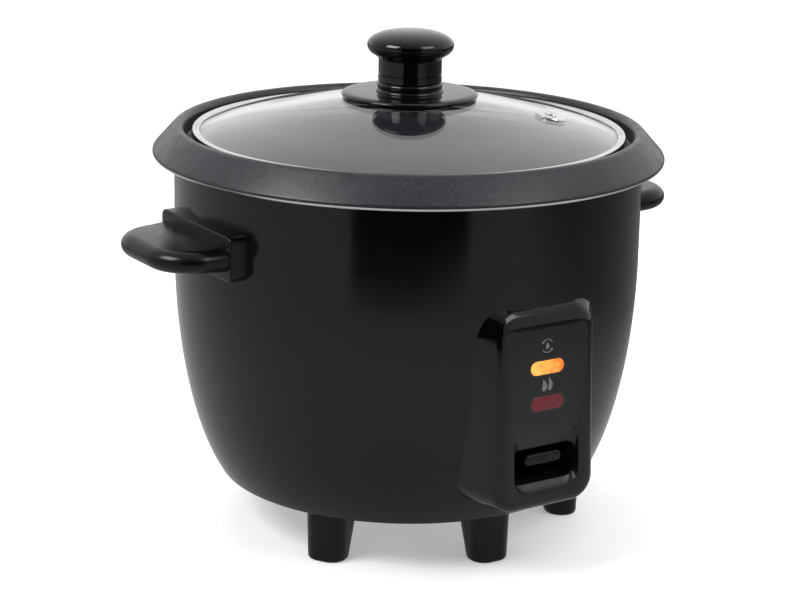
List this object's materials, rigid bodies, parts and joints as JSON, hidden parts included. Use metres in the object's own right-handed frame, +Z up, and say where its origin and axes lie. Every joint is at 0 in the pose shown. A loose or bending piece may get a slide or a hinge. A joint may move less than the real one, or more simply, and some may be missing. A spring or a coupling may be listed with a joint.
{
  "type": "rice cooker",
  "caption": "Drum-shaped electric rice cooker: painted shell, lift-out pot with a wide turned-down flange, glass lid with a knob, cook lever and magnetic thermostat.",
  "frame": {"origin": "on the axis of the drum, at the surface that the feet stand on", "axes": "+Z up along the drum axis, -Y out through the control panel, +X to the right-hand handle as seen from the front"},
  "size_m": [0.243, 0.2076, 0.2004],
  "materials": {
    "shell_paint": "semi-gloss baked paint",
    "galvanised": "plain rolled",
    "satin_plastic": "satin moulded",
    "gloss_plastic": "polished moulded",
    "cast_aluminium": "machined face",
    "coated_aluminium": "speckled non-stick",
    "polished_steel": "polished",
    "plain_steel": "satin",
    "lid_glass": "clear tempered",
    "silicone": "matt",
    "magnet": "sintered",
    "phenolic": "moulded",
    "copper": "plain",
    "brass": "plain",
    "ceramic": "fired",
    "amber_lens": "polished translucent",
    "red_lens": "polished translucent"
  },
  "bodies": {
    "cooker": {"outer_body": "shell_paint", "inner_liner": "galvanised", "base_plate": "galvanised", "foot_front": "satin_plastic", "foot_left": "satin_plastic", "foot_right": "satin_plastic", "foot_rear": "satin_plastic", "foot_screws": "plain_steel", "liner_posts": "plain_steel", "base_screws": "plain_steel", "heating_plate": "cast_aluminium", "heating_tube": "plain_steel", "plate_spacers": "plain_steel", "plate_screws": "plain_steel", "thermostat_guide": "galvanised", "thermostat_spring": "plain_steel", "pivot_bracket": "galvanised", "pivot_pin": "plain_steel", "lever_spring": "plain_steel", "contact_block": "phenolic", "contact_blades": "copper", "keep_warm_heater": "ceramic", "thermal_fuse": "ceramic", "terminal_block": "ceramic", "control_housing": "satin_plastic", "housing_screws": "plain_steel", "lens_warm": "amber_lens", "lens_cook": "red_lens", "lamp_carrier": "satin_plastic", "lamp_warm": "amber_lens", "lamp_cook": "red_lens", "inlet_housing": "satin_plastic", "inlet_pins": "brass", "handle_left": "satin_plastic", "handle_right": "satin_plastic", "handle_screws": "plain_steel"},
    "pot": {"inner_pot": "coated_aluminium"},
    "lid": {"lid_glass": "lid_glass", "lid_rim": "polished_steel", "knob": "gloss_plastic", "knob_disc": "gloss_plastic", "knob_gasket": "silicone", "knob_washer": "satin_plastic", "knob_screw": "plain_steel", "vent_eyelet": "polished_steel"},
    "lever": {"cook_lever": "galvanised", "lever_key": "satin_plastic"},
    "thermostat": {"thermostat_cap": "cast_aluminium", "thermostat_core": "magnet"},
    "plunger": {"magnet_plunger": "plain_steel", "magnet": "magnet", "plunger_pin": "plain_steel"}
  },
  "joints": [
    {"name": "pot_lift", "type": "slide", "parent": "cooker", "child": "pot", "axis": [0, 0, 1], "range_m": [0, 0.1]},
    {"name": "lid_lift", "type": "slide", "parent": "pot", "child": "lid", "axis": [0, 0, 1], "range_m": [0, 0.05]},
    {"name": "lever_press", "type": "hinge", "parent": "cooker", "child": "lever", "pos_m": [0, -0.038, 0.042], "axis": [1, 0, 0], "range_deg": [0, 5], "stiffness_Nm_per_rad": 0.9, "springref_deg": -3.44, "deforming": ["lever_spring"]},
    {"name": "cap_press", "type": "slide", "parent": "cooker", "child": "thermostat", "axis": [0, 0, 1], "range_m": [-0.0015, 0], "stiffness_N_per_m": 400, "springref_m": 0.003, "deforming": ["thermostat_spring"]},
    {"name": "magnet_lift", "type": "slide", "parent": "cooker", "child": "plunger", "axis": [0, 0, 1], "range_m": [0, 0.0034]}
  ],
  "couplings": [
    {"joint": "magnet_lift", "follows": "lever_press", "m_per_rad": 0.038}
  ]
}
